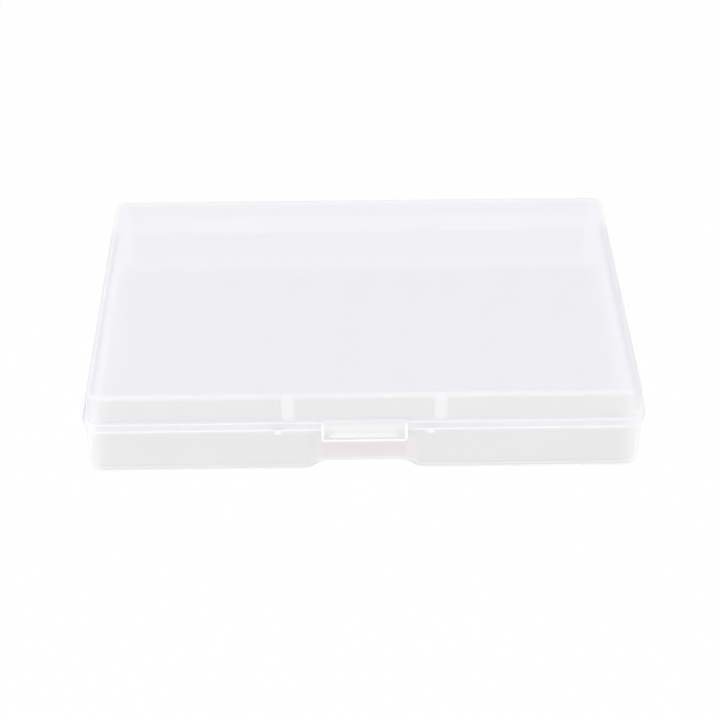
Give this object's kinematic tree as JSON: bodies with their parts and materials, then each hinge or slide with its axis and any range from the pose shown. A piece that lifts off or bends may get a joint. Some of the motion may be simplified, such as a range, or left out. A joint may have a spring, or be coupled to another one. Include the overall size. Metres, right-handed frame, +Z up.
{
  "type": "hinged storage box",
  "caption": "Flat rectangular storage box in frosted plastic: a shallow tray and a snap-hinged lid, with a front latch tab over a finger recess.",
  "frame": {"origin": "centre of the flat underside of the tray", "axes": "+X along the long side, +Y from the latch to the hinge, +Z up"},
  "size_m": [0.175, 0.1256, 0.0291],
  "materials": {
    "frosted_polypropylene": "injection moulded, finely frosted, translucent and colourless"
  },
  "bodies": {
    "tray": {"tray": "frosted_polypropylene"},
    "lid": {"lid": "frosted_polypropylene"}
  },
  "joints": [
    {"name": "lid_hinge", "type": "hinge", "parent": "tray", "child": "lid", "pos_m": [0, 0.06205, 0.0169], "axis": [-1, 0, 0], "range_deg": [0, 180]}
  ]
}
